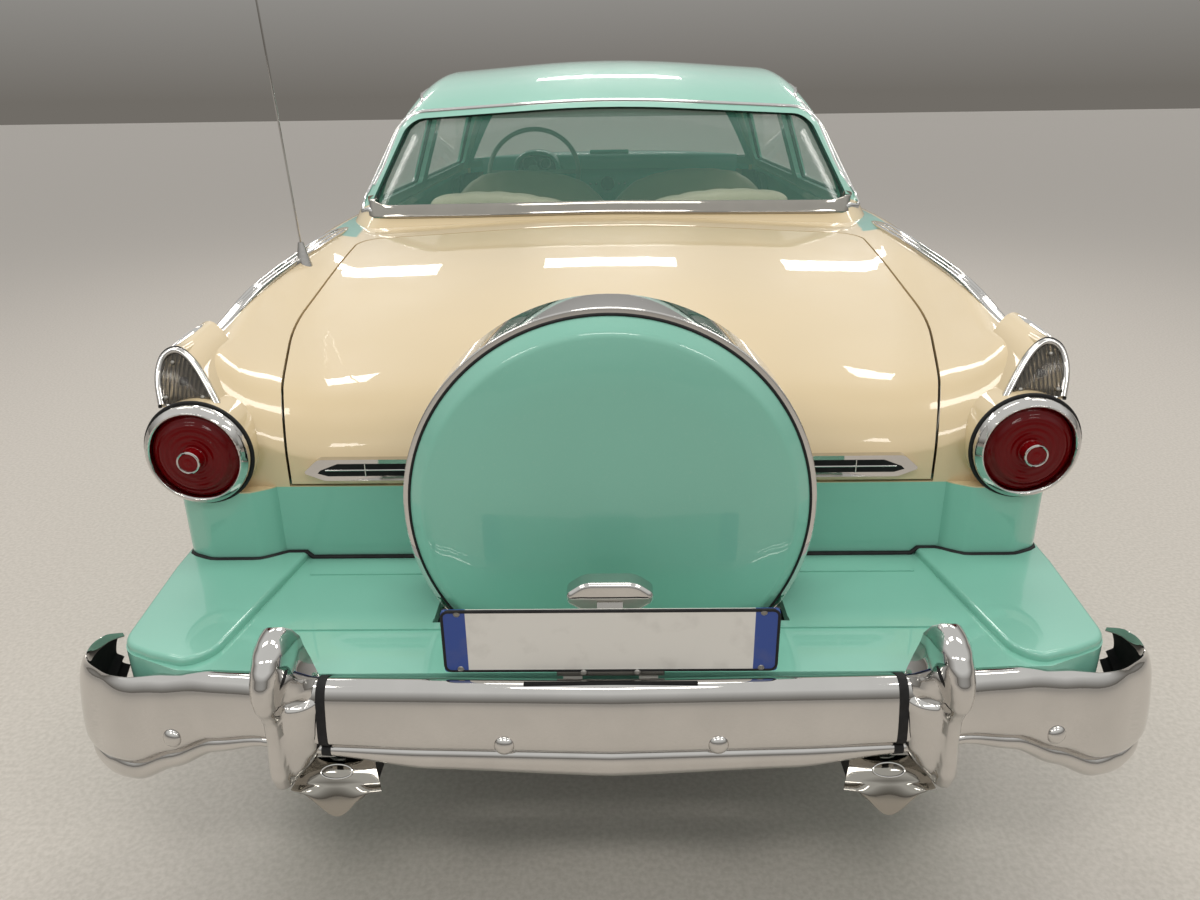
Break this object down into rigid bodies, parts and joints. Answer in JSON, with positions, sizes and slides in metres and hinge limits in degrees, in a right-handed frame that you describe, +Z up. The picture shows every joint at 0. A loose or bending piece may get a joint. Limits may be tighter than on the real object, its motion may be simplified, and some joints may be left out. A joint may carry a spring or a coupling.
{
  "type": "two-door car",
  "caption": "Full-size two-door car of the mid 1950s with two-tone paint, chrome bumpers, round tail lamps and a spare-wheel kit on its extended rear bumper.",
  "frame": {"origin": "on the floor, in the middle of the car's overall length and width", "axes": "+Y forwards, +X to the car's right, +Z up"},
  "size_m": [1.947, 5.4587, 1.8001],
  "materials": {
    "paint_turquoise": "gloss",
    "paint_two_tone": "gloss",
    "paint_cream": "gloss",
    "chrome": "polished",
    "glass": "clear",
    "lens_red": "gloss",
    "lens_clear": "clear",
    "tyre": "matt",
    "wheel": "gloss",
    "black_steel": "satin",
    "engine": "satin",
    "bare_steel": "satin",
    "seat_vinyl": "satin",
    "steering_plastic": "gloss",
    "plate": "satin"
  },
  "bodies": {
    "car": {"aerial": "chrome", "body_shell": "paint_two_tone", "dashboard": "paint_turquoise", "driveline": "bare_steel", "engine": "engine", "engine_bay": "black_steel", "exhaust": "bare_steel", "floor_pan": "black_steel", "frame": "black_steel", "front_bumper": "chrome", "front_fender_left": "paint_two_tone", "front_fender_right": "paint_two_tone", "front_seat": "seat_vinyl", "front_suspension": "black_steel", "fuel_tank": "black_steel", "grille": "chrome", "headlamps": "lens_clear", "kit_disc": "paint_turquoise", "kit_pan": "paint_turquoise", "kit_ring": "chrome", "nose_panel": "paint_two_tone", "number_plate": "plate", "plate_lamp": "chrome", "quarter_windows": "glass", "rear_axle": "black_steel", "rear_bumper": "chrome", "rear_bumper_ends": "chrome", "rear_seat": "seat_vinyl", "rear_window": "glass", "roof": "paint_turquoise", "spare_bracket": "black_steel", "spare_wheel": "tyre", "tail_lamp_lenses": "lens_red", "tail_lamp_rings": "chrome", "windscreen": "glass"},
    "door_left": {"door_left": "paint_two_tone", "door_glass_left": "glass"},
    "door_right": {"door_right": "paint_two_tone", "door_glass_right": "glass"},
    "bonnet": {"bonnet": "paint_cream"},
    "boot_lid": {"boot_lid": "paint_cream", "boot_trim": "chrome"},
    "steering": {"steering_wheel": "steering_plastic"},
    "knuckle_left": {"knuckle_left": "bare_steel"},
    "knuckle_right": {"knuckle_right": "bare_steel"},
    "wheel_front_left": {"wheel_front_left": "wheel", "tyre_front_left": "tyre"},
    "wheel_front_right": {"wheel_front_right": "wheel", "tyre_front_right": "tyre"},
    "wheel_rear_left": {"wheel_rear_left": "wheel", "tyre_rear_left": "tyre"},
    "wheel_rear_right": {"wheel_rear_right": "wheel", "tyre_rear_right": "tyre"}
  },
  "joints": [
    {"name": "door_left_hinge", "type": "hinge", "parent": "car", "child": "door_left", "pos_m": [-0.953, 1.034, 0.7], "axis": [0, 0, -1], "range_deg": [0, 65]},
    {"name": "door_right_hinge", "type": "hinge", "parent": "car", "child": "door_right", "pos_m": [0.953, 1.034, 0.7], "axis": [0, 0, 1], "range_deg": [0, 65]},
    {"name": "bonnet_hinge", "type": "hinge", "parent": "car", "child": "bonnet", "pos_m": [0, 1.338, 1.104], "axis": [1, 0, 0], "range_deg": [0, 55]},
    {"name": "boot_lid_hinge", "type": "hinge", "parent": "car", "child": "boot_lid", "pos_m": [0, -1.226, 1.079], "axis": [-1, 0, 0], "range_deg": [0, 70]},
    {"name": "steering_turn", "type": "hinge", "parent": "car", "child": "steering", "pos_m": [-0.366, 0.724, 1.075], "axis": [0, -0.891, 0.454], "range_deg": [-750, 750]},
    {"name": "knuckle_left_turn", "type": "hinge", "parent": "car", "child": "knuckle_left", "pos_m": [-0.645, 1.858, 0.35], "axis": [0, 0, 1], "range_deg": [-30.5, 30.5]},
    {"name": "knuckle_right_turn", "type": "hinge", "parent": "car", "child": "knuckle_right", "pos_m": [0.645, 1.858, 0.35], "axis": [0, 0, 1], "range_deg": [-30.5, 30.5]},
    {"name": "wheel_front_left_roll", "type": "hinge", "parent": "knuckle_left", "child": "wheel_front_left", "pos_m": [-0.7365, 1.858, 0.35], "axis": [1, 0, 0], "continuous": true},
    {"name": "wheel_rear_left_roll", "type": "hinge", "parent": "car", "child": "wheel_rear_left", "pos_m": [-0.711, -1.076, 0.35], "axis": [1, 0, 0], "continuous": true},
    {"name": "wheel_front_right_roll", "type": "hinge", "parent": "knuckle_right", "child": "wheel_front_right", "pos_m": [0.7365, 1.858, 0.35], "axis": [1, 0, 0], "continuous": true},
    {"name": "wheel_rear_right_roll", "type": "hinge", "parent": "car", "child": "wheel_rear_right", "pos_m": [0.711, -1.076, 0.35], "axis": [1, 0, 0], "continuous": true}
  ],
  "couplings": [
    {"joint": "knuckle_left_turn", "follows": "steering_turn", "ratio": 0.04},
    {"joint": "knuckle_right_turn", "follows": "steering_turn", "ratio": 0.04}
  ]
}
